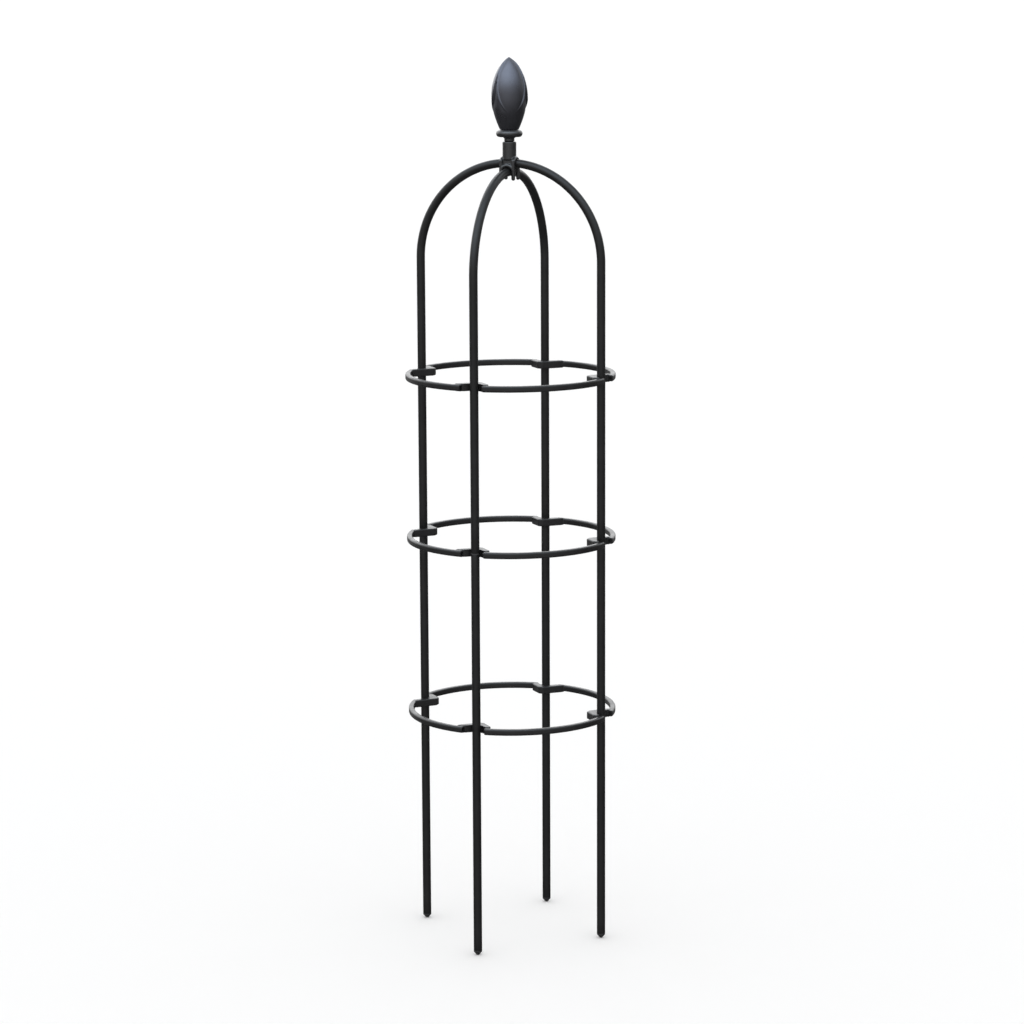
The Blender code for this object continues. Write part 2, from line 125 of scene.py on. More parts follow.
PEG_PLACE = 0.0170
PEG_RADIUS = 0.0012
PEG_ROOT = 0.003                 # how deep the peg starts inside the free arm
PEG_REACH = 0.0024
PEG_PLAY = 0.0005                # between a peg and its hole
HOOP_VOXEL = 0.00045
HOOP_ROUNDS = 8                  # of smoothing

STEM_RADIUS = 0.0092
STEM_BORE = 0.0055
STEM_BORE_BOTTOM_Z = 1.0715
STEM_BORE_OVERRUN = 0.005        # how far above the stem the cut for its bore starts
STEM_ROUNDING = 0.0016
STEM_SIDES = 64
STEM_FOOT = 0.0040               # these three are heights over the middle of the upper arch's tube
CORE_TOP = 0.0065
FINGER_TOP = 0.0030
FINGER_PLACE = 0.0087
FINGER_RADIUS = 0.0026
FINGER_SIDES = 24
FINGER_END_STEPS = 14
UPPER_RING_RISE = 0.80           # height share of the half rings over the upper arch
RING_STEPS = 28
RING_SIDES = 20
CORE_HALF = 0.0072               # of the saddle's body, inside the fingers
SADDLE_VOXEL = 0.00035
SADDLE_ROUNDS = 5                # of smoothing
CHANNEL_HALF = 0.03              # half the length of the cut for an arch
CHANNEL_STEPS = 40
CHANNEL_OVERRUN = 0.01           # how far below the fingers the cut goes on
SHARP_EDGE = 40.0                # degrees, of the edges of the hoops, the stem and the collar

COLLAR_EDGE = 0.0050             # half the disc's thickness
COLLAR_BULGE = 0.0036            # how far the disc's round rim stands out
COLLAR_BULGE_SHARE = 0.88        # of the half thickness that the round rim takes up
COLLAR_BULGE_START = 66          # degrees, above the rim's widest line
COLLAR_BULGE_SWEEP = 156
COLLAR_BULGE_STEPS = 24
COLLAR_SIDES = 96
SEAT_MARGIN = 0.0009             # the flat seat round the foot of the bud
SEAT_ROUNDING = 0.0006
GROOVE_MARGIN = 0.0014
GROOVE_DEPTH = 0.0006
NECK_RADIUS = 0.0068
NECK_FLARE = 0.0022              # how far the neck widens under the disc
NECK_FLARE_TOP = 0.0006
NECK_FLARE_BOTTOM = 0.0016
NECK_ROUNDING = 0.0007

BUD_BASE_RADIUS = 0.0125
BUD_HOLE_RADIUS = 0.0062
BUD_WALL = 0.0028
BUD_RINGS = 210
BUD_RING_SPACING = 1.15          # over 1: the rings are closer together at the tip
BUD_SIDES = 252
BUD_WIDEST_SHARE = 0.45          # share of the bud's height where it is widest
BUD_SWELL = 0.92                 # the powers that bend the outline below and above that place
BUD_TAPER = 2.25
BUD_POINT = 0.80
BUD_FOOT_BEVEL = 0.0008          # drawn in at the foot's bottom edge
BUD_FOOT_INSET = 0.0002          # drawn in at the bevel's top, and its height
BUD_FOOT_RISE = 0.0003
BUD_ROOF_DROP = 0.007            # from the tip down to the roof of the hollow
BUD_HOLLOW_SHARES = (0.03, 0.1, 0.2, 0.32, 0.45, 0.58, 0.7, 0.8, 0.88)
PETALS = 3
PETAL_FACING = -59.0             # degrees about the axis, the middle of the front petal
PETAL_HALF_ANGLE = 60.0          # at the tip of the bud
PETAL_START = 0.22               # share of the bud's height where the petals part from the cup
PETAL_FULL = 0.42                # and where they stand out in full
PETAL_TIP_FADE = 0.10            # share of the height over which they fade out at the tip
PETAL_CURVE = 2.6                # the power that bends a petal's edge
PETAL_STEP = 0.0012              # how far a petal's edge stands out
PETAL_STEP_START = -0.0002       # across the edge, where the step begins and ends
PETAL_STEP_END = 0.0005
PETAL_RIM = 0.0015               # the raised rim along a petal's edge
PETAL_RIM_WIDTH = 0.0008
VEIN = 0.0007                    # the raised line on the inner petals, midway between the outer ones
VEIN_WIDTH = 0.0006
VEIN_FADE = 0.001                # it rises over this distance past a petal's edge

CAMERA_AZIMUTH = 21.6
CAMERA_SIDE = 0.0011             # to the right of the object's axis
CAMERA_DISTANCE = 4.2335
CAMERA_HEIGHT = 1.345
CAMERA_PITCH = 10.15
CAMERA_ROLL = -0.28
LENS = 111.2
SENSOR_WIDTH = 36.0
FLOOR_HALF = 30.0
FLOOR_PAINT = (0.9, 0.9, 0.9, 1.0)
FLOOR_ROUGHNESS = 0.9
ROOM_LIGHT = 1.1
STUDIO_LIGHT = 3.9
LOW_RISE = (-0.50, -0.18)        # heights on the unit sphere over which each band gives way to the next
HORIZON_RISE = (-0.06, 0.10)
OVERHEAD_RISE = (0.16, 0.60)

CLOUD_SCALE = 23.0               # noise scales of the finishes, from the broadest to the finest
GLOSS_SCALE = 95.0
PEEL_SCALE = 260.0
SPECK_SCALE = 760.0
SPECK_BRIGHTNESS = 2.1           # of the specks, over the lighter colour

STRAIGHT_ENOUGH = 172.0          # degrees, over which a corner isn't rounded
SIDE_SHARE = 0.48                # of a side that the rounding of one corner may take
SMOOTHING = 0.5                  # how far each round moves a point towards its neighbours' middle

LEG_ANGLES = {"right": 0.0, "rear": 90.0, "left": 180.0, "front": 270.0}
CLIP_ARCS = {"rear_right": 0.0, "front_left": 180.0}
PLAIN_ARCS = {"rear_left": 90.0, "front_right": 270.0}
HOOPS = ("top", "middle", "bottom")


# ---- What the frame says -------------------------------------------------------------------------
def reach(node):
    """How far a CAD node's mesh reaches from the vertical axis."""
    return max(math.hypot(v.co.x, v.co.y) for v in frame["nodes"][node].data.vertices)


def middle_height(node):
    """The height of the middle of a CAD node's box."""
    low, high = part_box(node)
    return (low.z + high.z) / 2


low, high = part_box("leg_right")
TUBE_RADIUS = (high.y - low.y) / 2
LEG_CIRCLE = (high.x + low.x) / 2
HOOP_OUTER = reach("hoop_top_arc_rear_left")
BAR_INNER = HOOP_OUTER - BAR_WIDTH
BAR_MIDDLE = HOOP_OUTER - BAR_WIDTH / 2


# ---- Making meshes -------------------------------------------------------------------------------
def shade(mesh, sharp):
    """Smooth shading, except along edges sharper than the given angle in degrees."""
    mesh.shade_smooth()
    mesh.set_sharp_from_angle(angle=math.radians(sharp))


def add_piece(name, bm, sharp=35.0):
    """A new object from the given geometry, shaded smooth except along sharp edges."""
    bmesh.ops.recalc_face_normals(bm, faces=bm.faces)
    mesh = bpy.data.meshes.new(name)
    bm.to_mesh(mesh)
    bm.free()
    piece = bpy.data.objects.new(name, mesh)
    bpy.context.scene.collection.objects.link(piece)
    shade(mesh, sharp)
    return piece


def stand_for(piece, node, material):
    """The piece takes the place of a CAD node, on the same body and with a finish."""
    piece.data.materials.clear()
    piece.data.materials.append(material)
    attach(piece, body_of(frame["nodes"][node])[0])
    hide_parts(node)


def loft(bm, rings, closed=False):
    """Quads between rings of vertices that each have the same number of points."""
    pairs = list(zip(rings, rings[1:]))
    if closed:
        pairs.append((rings[-1], rings[0]))
    for ring, after in pairs:
        for corner in range(len(ring)):
            bm.faces.new((ring[corner - 1], ring[corner], after[corner], after[corner - 1]))


def capped_loft(bm, rings):
    """A loft with a face over each end."""
    loft(bm, rings)
    bm.faces.new(rings[0])
    bm.faces.new(rings[-1])


def turned_geometry(bm, profile, steps, centre=(0.0, 0.0)):
    """A closed turned body, from (radius, height) points that start and end on the axis."""
    first = bm.verts.new((*centre, profile[0][1]))
    last = bm.verts.new((*centre, profile[-1][1]))
    rings = []
    for radius, height in profile[1:-1]:
        ring = []
        for step in range(steps):
            turn = 2 * math.pi * step / steps
            ring.append(bm.verts.new((centre[0] + radius * math.cos(turn),
                                      centre[1] + radius * math.sin(turn), height)))
        rings.append(ring)
    loft(bm, rings)
    for corner in range(steps):
        bm.faces.new((first, rings[0][corner - 1], rings[0][corner]))
        bm.faces.new((last, rings[-1][corner], rings[-1][corner - 1]))


def filleted(points, radius, steps=6, closed=True):
    """An outline of 2D points with each corner rounded, as far as its sides leave room for."""
    rounded = []
    count = len(points)
    for index, point in enumerate(points):
        if not closed and index in (0, count - 1):
            rounded.append(tuple(point))
            continue
        here = Vector(point)
        back = Vector(points[index - 1]) - here
        on = Vector(points[(index + 1) % count]) - here
        opening = back.angle(on)
        if opening > math.radians(STRAIGHT_ENOUGH):
            rounded.append(tuple(point))
            continue
        cut = min(radius / math.tan(opening / 2), back.length * SIDE_SHARE, on.length * SIDE_SHARE)
        start = here + back.normalized() * cut
        end = here + on.normalized() * cut
        for step in range(steps + 1):
            way = step / steps
            place = start * (1 - way) ** 2 + here * 2 * way * (1 - way) + end * way ** 2
            rounded.append((place.x, place.y))
    return rounded


def apply_modifiers(piece):
    """The piece's mesh as its modifiers leave it."""
    graph = bpy.context.evaluated_depsgraph_get()
    mesh = bpy.data.meshes.new_from_object(piece.evaluated_get(graph))
    old = piece.data
    piece.modifiers.clear()
    piece.data = mesh
    bpy.data.meshes.remove(old)


def cut_away(piece, bm):
    """Cut the given geometry out of the piece."""
    tool = add_piece("tool", bm)
    cut = piece.modifiers.new("cut", "BOOLEAN")
    cut.operation = "DIFFERENCE"
    cut.object = tool
    cut.solver = "EXACT"
    apply_modifiers(piece)
    bpy.data.objects.remove(tool, do_unlink=True)


def blend_together(piece, voxel, rounds):
    """Merge the piece's overlapping bodies into one skin with softened edges."""
    remesh = piece.modifiers.new("merge", "REMESH")
    remesh.mode = "VOXEL"
    remesh.voxel_size = voxel
    soften = piece.modifiers.new("soften", "SMOOTH")
    soften.factor = SMOOTHING
    soften.iterations = rounds
    apply_modifiers(piece)


def around(angle, along, radial, height=0.0):
    """A point near a leg: along the hoop, out from the axis, and up."""
    return Matrix.Rotation(math.radians(angle), 4, "Z") @ Vector((radial, along, height))


def on_circle(radius, along):
    """How far out a circle lies at a distance along the hoop from the leg's centre."""
    return math.sqrt(radius ** 2 - along ** 2)


def add_rod(bm, start, end, radius, sides=40):
    """A closed round bar between two points."""
    line = Vector(end) - Vector(start)
    turn = line.to_track_quat("Z", "Y").to_matrix().to_4x4()
    place = Matrix.Translation((Vector(start) + Vector(end)) / 2) @ turn
    bmesh.ops.create_cone(bm, cap_ends=True, segments=sides, radius1=radius, radius2=radius,
                          depth=line.length, matrix=place)


# ---- Finishes ------------------------------------------------------------------------------------
def noise(nodes, links, coordinates, scale, detail=2.0):
    """Noise in the piece's own coordinates, from 0 to 1."""
    texture = nodes.new("ShaderNodeTexNoise")
    texture.inputs["Scale"].default_value = scale
    texture.inputs["Detail"].default_value = detail
    links.new(coordinates.outputs["Object"], texture.inputs["Vector"])
    return texture.outputs["Fac"]


def moulded_finish(name, dark, light, roughness, specular, grain_scale, grain_depth, peel_depth,
                   index=1.5, sheen=(1.0, 1.0, 1.0)):
    """A satin surface: cloudy colour, fine specks, uneven gloss, fine grain over a soft waviness."""
    material = bpy.data.materials.new(name)
    material.use_nodes = True
    nodes = material.node_tree.nodes
    links = material.node_tree.links
    shader = nodes["Principled BSDF"]
    shader.inputs["Specular IOR Level"].default_value = specular
    shader.inputs["Specular Tint"].default_value = (*sheen, 1.0)
    shader.inputs["IOR"].default_value = index
    coordinates = nodes.new("ShaderNodeTexCoord")

    clouds = nodes.new("ShaderNodeValToRGB")
    clouds.color_ramp.elements[0].position = 0.30
    clouds.color_ramp.elements[0].color = (*dark, 1.0)
    clouds.color_ramp.elements[1].position = 0.72
    clouds.color_ramp.elements[1].color = (*light, 1.0)
    links.new(noise(nodes, links, coordinates, CLOUD_SCALE, 4.0), clouds.inputs["Fac"])

    specks = nodes.new("ShaderNodeMapRange")
    specks.inputs["From Min"].default_value = 0.60
    specks.inputs["From Max"].default_value = 0.74
    specks.inputs["To Max"].default_value = 0.35
    links.new(noise(nodes, links, coordinates, SPECK_SCALE, 3.0), specks.inputs["Value"])
    colour = nodes.new("ShaderNodeMix")
    colour.data_type = "RGBA"
    bright = [min(1.0, SPECK_BRIGHTNESS * part) for part in light]
    colour.inputs["B"].default_value = (*bright, 1.0)
    links.new(specks.outputs["Result"], colour.inputs["Factor"])
    links.new(clouds.outputs["Color"], colour.inputs["A"])
    links.new(colour.outputs["Result"], shader.inputs["Base Color"])

    gloss = nodes.new("ShaderNodeMapRange")
    gloss.inputs["From Min"].default_value = 0.3
    gloss.inputs["From Max"].default_value = 0.7
    gloss.inputs["To Min"].default_value = roughness - 0.05
    gloss.inputs["To Max"].default_value = roughness + 0.07
    links.new(noise(nodes, links, coordinates, GLOSS_SCALE, 3.0), gloss.inputs["Value"])
    links.new(gloss.outputs["Result"], shader.inputs["Roughness"])

    peel = nodes.new("ShaderNodeBump")
    peel.inputs["Strength"].default_value = 1.0
    peel.inputs["Distance"].default_value = peel_depth
    links.new(noise(nodes, links, coordinates, PEEL_SCALE), peel.inputs["Height"])
    grain = nodes.new("ShaderNodeBump")
    grain.inputs["Strength"].default_value = 1.0
    grain.inputs["Distance"].default_value = grain_depth
    links.new(noise(nodes, links, coordinates, grain_scale, 3.0), grain.inputs["Height"])
    links.new(peel.outputs["Normal"], grain.inputs["Normal"])
    links.new(grain.outputs["Normal"], shader.inputs["Normal"])
    return material


tube_coating = moulded_finish(
    "tube_coating", dark=(0.0070, 0.0070, 0.0074), light=(0.0115, 0.0115, 0.0120), roughness=0.36,
    specular=0.42, grain_scale=1500.0, grain_depth=0.00002, peel_depth=0.00005)
hoop_finish = moulded_finish(
    "hoop_finish", dark=(0.0090, 0.0090, 0.0098), light=(0.0145, 0.0145, 0.0153), roughness=0.32,
    specular=0.50, grain_scale=1900.0, grain_depth=0.00002, peel_depth=0.00003)
finial_finish = moulded_finish(
    "finial_finish", dark=(0.0090, 0.0090, 0.0100), light=(0.0135, 0.0135, 0.0150), roughness=0.29,
    specular=1.00, grain_scale=2100.0, grain_depth=0.00001, peel_depth=0.00003)
bud_finish = moulded_finish(
    "bud_finish", dark=(0.0080, 0.0080, 0.0084), light=(0.0125, 0.0125, 0.0130), roughness=0.32,
    specular=1.00, grain_scale=2300.0, grain_depth=0.00001, peel_depth=0.00002, index=1.7,
    sheen=(0.84, 0.86, 1.00))
point_finish = moulded_finish(
    "point_finish", dark=(0.015, 0.015, 0.016), light=(0.027, 0.027, 0.028), roughness=0.50,
    specular=0.40, grain_scale=1300.0, grain_depth=0.00003, peel_depth=0.00004)
coupling_finish = moulded_finish(
    "coupling_finish", dark=(0.036, 0.036, 0.038), light=(0.052, 0.052, 0.056), roughness=0.55,
    specular=0.45, grain_scale=1200.0, grain_depth=0.00003, peel_depth=0.00004)


# ---- Frame tubes ---------------------------------------------------------------------------------
def tube(name, path):
    """A hollow round tube with rounded lips, along a path of points that lies in one upright plane."""
    bm = bmesh.new()
    bore = TUBE_RADIUS - TUBE_WALL
    plane_normal = Vector((0.0, 0.0, 0.0))
    for first, second, third in zip(path, path[1:], path[2:]):
        plane_normal += (second - first).cross(third - second)
    if plane_normal.length > 1e-12:
        plane_normal.normalize()
    else:
        plane_normal = Vector((0.0, 1.0, 0.0))  # a straight path lies in any upright plane
    headings = [(path[min(i + 1, len(path) - 1)] - path[max(i - 1, 0)]).normalized()
                for i in range(len(path))]

    def ring(place, heading, radius):
        across = heading.cross(plane_normal)
        turns = [2 * math.pi * side / TUBE_SIDES for side in range(TUBE_SIDES)]
        return [bm.verts.new(place + radius * (across * math.cos(turn) + plane_normal * math.sin(turn)))
                for turn in turns]

    def lip(place, heading, inward):
        """The rings of a rounded end, from the outer skin over to the bore."""
        turns = [math.pi / 2 * step / TUBE_LIP_STEPS for step in range(TUBE_LIP_STEPS + 1)]
        outer = [ring(place + inward * TUBE_LIP * (1 - math.sin(t)), heading,
                      TUBE_RADIUS - TUBE_LIP * (1 - math.cos(t))) for t in turns]
        inner = [ring(place + inward * TUBE_LIP * (1 - math.sin(t)), heading,
                      bore + TUBE_LIP * (1 - math.cos(t))) for t in reversed(turns)]
        return outer + inner

    start = lip(path[0], headings[0], headings[0])
    end = lip(path[-1], headings[-1], -headings[-1])
    middle = list(zip(path, headings))[1:-1]
    outside = [ring(place, heading, TUBE_RADIUS) for place, heading in middle]
    inside = [ring(place, heading, bore) for place, heading in reversed(middle)]
    loft(bm, outside + end + inside + start[::-1], closed=True)
    return add_piece(name, bm, 50.0)


def make_arch(node, angle):
    """A bent tube: up from the joint, over in a half circle, and down again."""
    low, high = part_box(node)
    spring = high.z - TUBE_RADIUS - LEG_CIRCLE
    heights = [low.z + (spring - low.z) * step / ARCH_SHANK_STEPS for step in range(ARCH_SHANK_STEPS)]
    path = [around(angle, 0.0, LEG_CIRCLE, height) for height in heights]
    for step in range(ARCH_STEPS + 1):
        turn = math.pi * step / ARCH_STEPS
        path.append(around(angle, 0.0, LEG_CIRCLE * math.cos(turn), spring + LEG_CIRCLE * math.sin(turn)))
    path += [around(angle, 0.0, -LEG_CIRCLE, height) for height in reversed(heights)]
    stand_for(tube(node + "_tube", path), node, tube_coating)


def make_leg(side, angle):
    """A straight tube with its ground point; the coupling at its top keeps its shape."""
    node = "leg_" + side
    low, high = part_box(node)
    path = [around(angle, 0.0, LEG_CIRCLE, low.z + (high.z - low.z) * step / LEG_STEPS)
            for step in range(LEG_STEPS + 1)]
    stand_for(tube(node + "_tube", path), node, tube_coating)
    make_ground_point("ground_point_" + side, low.z - GAP)
    coupling = frame["nodes"]["coupling_" + side]
    coupling.data.materials.clear()
    coupling.data.materials.append(coupling_finish)


def make_ground_point(node, rim_z):
    """The turned plug that closes a leg, with a short pointed end and a small flat tip."""
    low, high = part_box(node)
    centre = ((low.x + high.x) / 2, (low.y + high.y) / 2)
    plug = TUBE_RADIUS - TUBE_WALL - GAP
    outline = [(0.0, high.z), (plug, high.z), (plug, rim_z), (TUBE_RADIUS, rim_z),
               (TUBE_RADIUS, rim_z - POINT_BAND), (POINT_TIP_RADIUS, low.z), (0.0, low.z)]
    bm = bmesh.new()
    turned_geometry(bm, filleted(outline, POINT_ROUNDING, closed=False), POINT_SIDES, centre)
    stand_for(add_piece(node + "_turned", bm), node, point_finish)


# ---- Hoops ---------------------------------------------------------------------------------------
def bar_section(share=1.0):
    """The bar's section, or a share of it on the same inner face, as (radius, z) points."""
    half = BAR_HEIGHT / 2
    box = [(BAR_WIDTH, half), (0.0, half), (0.0, -half), (BAR_WIDTH, -half)]
    points = []
    for index, (radial, z) in enumerate(box):
        centre_r = radial - math.copysign(BAR_ROUNDING, radial - BAR_WIDTH / 2)
        centre_z = z - math.copysign(BAR_ROUNDING, z)
        for step in range(BAR_CORNER_STEPS + 1):
            turn = math.pi / 2 * (index + step / BAR_CORNER_STEPS)
            points.append((BAR_INNER + share * (centre_r + BAR_ROUNDING * math.cos(turn)),
                           share * (centre_z + BAR_ROUNDING * math.sin(turn))))
    return points


def turn_for(distance):
    """The angle about the axis, in degrees, for a distance along the middle of the bar."""
    return math.degrees(distance / BAR_MIDDLE)


def add_bar(bm, places):
    """A bar lofted through its section at each (angle, share) place, closed at both ends."""
    rings = []
    for angle, share in places:
        turn = Matrix.Rotation(math.radians(angle), 3, "Z")
        rings.append([bm.verts.new(turn @ Vector((radius, 0.0, z))) for radius, z in bar_section(share)])
    capped_loft(bm, rings)


def even_places(first, last):
    """Evenly spaced places with the full section, between two angles."""
    return [(first + (last - first) * step / BAR_STEPS, 1.0) for step in range(BAR_STEPS + 1)]


def nose_places(angle, direction):
    """Places from the tip of a rounded nose to the full bar."""
    places = []
    for step in range(NOSE_STEPS):
        way = (step / NOSE_STEPS) ** NOSE_SPACING
        share = NOSE_TIP_SHARE + (1.0 - NOSE_TIP_SHARE) * math.sqrt(1.0 - (1.0 - way) ** 2)
        places.append((angle + direction * turn_for(NOSE_LENGTH * way), share))
    return places


def clip_outline(direction):
    """The V-shaped clip seen from above, as (along, radial) points with rounded corners."""
    clear = BAR_INNER - CLIP_CLEARANCE
    in_bar = BAR_INNER + CLIP_SINK
    start = -(BAR_STOP + CLIP_SETBACK)
    corners = [(-CLIP_ROOT, on_circle(in_bar, CLIP_ROOT)),
               (-CLIP_ROOT, on_circle(BAR_INNER, CLIP_ROOT)),
               (-CLIP_TIP_HALF, CLIP_TIP_RADIUS),
               (CLIP_TIP_HALF, CLIP_TIP_RADIUS),
               (CLIP_ARM_END, CLIP_TIP_RADIUS + CLIP_ARM_RISE),
               (CLIP_ARM_END, on_circle(clear, CLIP_ARM_END)),
               (CLIP_SHOULDER, on_circle(clear, CLIP_SHOULDER)),
               (CLIP_JAW_HALF, CLIP_JAW_RADIUS),
               (-CLIP_JAW_HALF, CLIP_JAW_RADIUS),
               (-CLIP_SHOULDER, on_circle(clear, CLIP_SHOULDER)),
               (start, on_circle(clear, start)),
               (start, on_circle(in_bar, start))]
    return [(along * direction, radial) for along, radial in filleted(corners, CLIP_CORNER)]


def add_clip(bm, angle, direction):
    """The clip's body: its outline carried up, drawn in a little along its top and bottom edges."""
    outline = clip_outline(direction)
    middle = Vector((sum(a for a, _ in outline), sum(r for _, r in outline))) / len(outline)
    half = CLIP_HEIGHT / 2
    levels = []
    for step in range(CLIP_EDGE_STEPS + 1):
        turn = math.pi / 2 * step / CLIP_EDGE_STEPS
        levels.append((-half + CLIP_EDGE * (1 - math.sin(turn)), CLIP_EDGE * (1 - math.cos(turn))))
    levels += [(-z, inset) for z, inset in levels]
    levels.sort()
    rings = []
    for z, inset in levels:
        shrink = 1.0 - inset / CLIP_HALF_SIZE
        ring = []
        for along, radial in outline:
            place = middle + (Vector((along, radial)) - middle) * shrink
            ring.append(bm.verts.new(around(angle, place.x, place.y, z)))
        rings.append(ring)
    capped_loft(bm, rings)


def peg(bm, angle, direction, play=0.0):
    """The peg on a clip's free arm, or with play round it the hole that takes it."""
    place = PEG_PLACE * direction
    add_rod(bm, around(angle, place, BAR_INNER - PEG_ROOT),
            around(angle, place, BAR_INNER + PEG_REACH + play), PEG_RADIUS + play)


def clip_arc_mesh(start):
    """A quarter arc whose two ends carry the clips, as one moulded skin about height zero."""
    end = start + 90.0
    bm = bmesh.new()
    add_bar(bm, even_places(start + turn_for(BAR_STOP), end - turn_for(BAR_STOP)))
    for angle, direction in ((start, -1), (end, 1)):
        add_clip(bm, angle, direction)
        peg(bm, angle, direction)
    piece = add_piece("clip_arc", bm)
    blend_together(piece, HOOP_VOXEL, HOOP_ROUNDS)
    bm = bmesh.new()
    for angle, direction in ((start, -1), (end, 1)):
        add_rod(bm, around(angle, 0.0, LEG_CIRCLE, -LEG_SEAT_HALF),
                around(angle, 0.0, LEG_CIRCLE, LEG_SEAT_HALF), TUBE_RADIUS + GAP, LEG_SEAT_SIDES)
        mouth = -(BAR_STOP - RECESS_OVERRUN) * direction
        depth = -(BAR_STOP + RECESS_DEPTH) * direction
        add_rod(bm, around(angle, mouth, on_circle(BAR_MIDDLE, mouth)),
                around(angle, depth, on_circle(BAR_MIDDLE, depth)), RECESS_RADIUS)
    cut_away(piece, bm)
    return piece


def plain_arc_mesh(start):
    """A quarter arc with a rounded nose at each end and the holes that take the clips' pegs."""
    end = start + 90.0
    bm = bmesh.new()
    short = turn_for(NOSE_STOP)
    full = turn_for(NOSE_STOP + NOSE_LENGTH)
    add_bar(bm, nose_places(start + short, 1) + even_places(start + full, end - full)
            + nose_places(end - short, -1)[::-1])
    piece = add_piece("plain_arc", bm)
    bm = bmesh.new()
    for angle, direction in ((start, 1), (end, -1)):
        peg(bm, angle, direction, PEG_PLAY)
    cut_away(piece, bm)
    return piece


def make_hoops():
    """Each kind of arc is made once, and a copy of it stands at each hoop's height."""
    for makers, build in ((CLIP_ARCS, clip_arc_mesh), (PLAIN_ARCS, plain_arc_mesh)):
        for side, start in makers.items():
            pattern = build(start)
            shade(pattern.data, SHARP_EDGE)
            for hoop in HOOPS:
                node = f"hoop_{hoop}_arc_{side}"
                piece = bpy.data.objects.new(node + "_moulded", pattern.data.copy())
                bpy.context.scene.collection.objects.link(piece)
                piece.location.z = middle_height(node)
                stand_for(piece, node, hoop_finish)
            bpy.data.objects.remove(pattern, do_unlink=True)


# ---- Finial --------------------------------------------------------------------------------------
def add_half_ring(bm, centre, angle, radius, thickness, rise):
    """An upright half ring over an arch, its plane square to the arch; rise is its height share."""
    rings = []
    for step in range(RING_STEPS + 1):
        turn = math.pi * step / RING_STEPS
        out = around(angle, math.cos(turn), 0.0, math.sin(turn))
        ahead = around(angle, 0.0, 1.0)
        ring = []
        for side in range(RING_SIDES):
            corner = 2 * math.pi * side / RING_SIDES
            place = out * (radius + thickness * math.cos(corner)) + ahead * thickness * math.sin(corner)
            place.z *= rise
            ring.append(bm.verts.new(centre + place))
        rings.append(ring)
    capped_loft(bm, rings)


def make_stem():
    """The stem on its saddle: four fingers and four half rings that hug the two crossing arches."""
    low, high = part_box("finial_stem")
    upper_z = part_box("arch_upper")[1].z - TUBE_RADIUS
    lower_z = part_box("arch_lower")[1].z - TUBE_RADIUS
    bm = bmesh.new()
    outline = [(0.0, high.z), (STEM_RADIUS, high.z), (STEM_RADIUS, upper_z + STEM_FOOT),
               (0.0, upper_z + STEM_FOOT)]
    turned_geometry(bm, filleted(outline, STEM_ROUNDING, closed=False), STEM_SIDES)
    core = Matrix.Translation((0.0, 0.0, (lower_z + upper_z + CORE_TOP) / 2))
    core = core @ Matrix.Diagonal((2 * CORE_HALF, 2 * CORE_HALF, upper_z + CORE_TOP - lower_z, 1.0))
    bmesh.ops.create_cube(bm, size=1.0, matrix=core)
    for index in range(4):
        turn = math.radians(45 + 90 * index)
        x = math.copysign(FINGER_PLACE, math.cos(turn))
        y = math.copysign(FINGER_PLACE, math.sin(turn))
        bottom = low.z + FINGER_RADIUS
        top = upper_z + FINGER_TOP
        add_rod(bm, (x, y, bottom), (x, y, top), FINGER_RADIUS, FINGER_SIDES)
        for height in (bottom, top):
            bmesh.ops.create_uvsphere(bm, u_segments=FINGER_SIDES, v_segments=FINGER_END_STEPS,
                                      radius=FINGER_RADIUS, matrix=Matrix.Translation((x, y, height)))
    for side, angle in LEG_ANGLES.items():
        over_upper = side in ("left", "right")
        place = around(angle, 0.0, FINGER_PLACE, upper_z if over_upper else lower_z)
        rise = UPPER_RING_RISE if over_upper else 1.0
        add_half_ring(bm, place, angle, FINGER_PLACE, FINGER_RADIUS, rise)
    piece = add_piece("finial_stem_moulded", bm)
    blend_together(piece, SADDLE_VOXEL, SADDLE_ROUNDS)
    cut_away(piece, channel(upper_z, LEG_ANGLES["right"], low.z))
    cut_away(piece, channel(lower_z, LEG_ANGLES["rear"], low.z))
    bore = bmesh.new()
    add_rod(bore, (0.0, 0.0, STEM_BORE_BOTTOM_Z), (0.0, 0.0, high.z + STEM_BORE_OVERRUN), STEM_BORE,
            STEM_SIDES)
    cut_away(piece, bore)
    shade(piece.data, SHARP_EDGE)
    stand_for(piece, "finial_stem", finial_finish)


def channel(crossing_z, angle, low_z):
    """The slot with a round top that lets the saddle down over one arch."""
    radius = TUBE_RADIUS + GAP
    below = low_z - CHANNEL_OVERRUN
    turns = [math.pi * step / CHANNEL_STEPS for step in range(CHANNEL_STEPS + 1)]
    outline = [(radius * math.cos(turn), crossing_z + radius * math.sin(turn)) for turn in turns]
    outline += [(-radius, below), (radius, below)]
    bm = bmesh.new()
    rings = [[bm.verts.new(around(angle, along, end, z)) for along, z in outline]
             for end in (-CHANNEL_HALF, CHANNEL_HALF)]
    capped_loft(bm, rings)
    return bm


